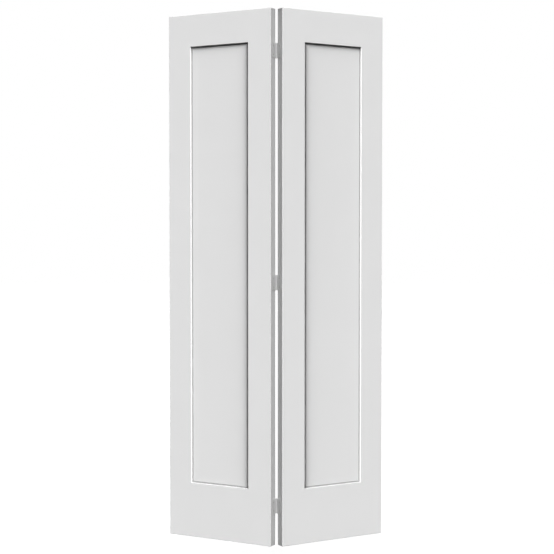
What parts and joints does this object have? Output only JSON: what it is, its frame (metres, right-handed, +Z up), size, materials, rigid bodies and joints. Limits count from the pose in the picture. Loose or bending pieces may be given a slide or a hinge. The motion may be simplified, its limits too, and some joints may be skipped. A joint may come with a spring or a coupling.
{
  "type": "bifold closet door",
  "caption": "White-primed bifold closet door: moulded hollow-core leaves with a flat recessed panel, hinged together at the back of their meeting edges so that they fold against each other.",
  "frame": {"origin": "middle of the pair's bounding box at the half-folded rest pose, on the plane of the leaves' bottom edges", "axes": "+Z up along the leaves, -Y the way the fronts face, +X to the right as seen from the front; the hinge pins' vertical axis crosses the YZ plane in front of the origin"},
  "size_m": [0.8242, 0.2548, 2.0066],
  "materials": {
    "primed_hardboard": "satin",
    "primed_softwood": "satin",
    "kraft_core": "matte",
    "hinge_steel": "satin",
    "pin_steel": "satin",
    "screw_steel": "satin"
  },
  "bodies": {
    "left_leaf": {"bottom_hinge_left_plate": "hinge_steel", "bottom_hinge_left_screws": "screw_steel", "bottom_hinge_pin": "pin_steel", "left_back_facing": "primed_hardboard", "left_bottom_rail": "primed_softwood", "left_core": "kraft_core", "left_front_facing": "primed_hardboard", "left_hinge_stile": "primed_softwood", "left_outer_stile": "primed_softwood", "left_top_rail": "primed_softwood", "middle_hinge_left_plate": "hinge_steel", "middle_hinge_left_screws": "screw_steel", "middle_hinge_pin": "pin_steel", "top_hinge_left_plate": "hinge_steel", "top_hinge_left_screws": "screw_steel", "top_hinge_pin": "pin_steel"},
    "right_leaf": {"bottom_hinge_right_plate": "hinge_steel", "bottom_hinge_right_screws": "screw_steel", "middle_hinge_right_plate": "hinge_steel", "middle_hinge_right_screws": "screw_steel", "right_back_facing": "primed_hardboard", "right_bottom_rail": "primed_softwood", "right_core": "kraft_core", "right_front_facing": "primed_hardboard", "right_hinge_stile": "primed_softwood", "right_outer_stile": "primed_softwood", "right_top_rail": "primed_softwood", "top_hinge_right_plate": "hinge_steel", "top_hinge_right_screws": "screw_steel"}
  },
  "joints": [
    {"name": "fold", "type": "hinge", "parent": "left_leaf", "child": "right_leaf", "pos_m": [0, -0.09285, 0], "axis": [0, 0, 1], "range_deg": [-60, 120]}
  ]
}
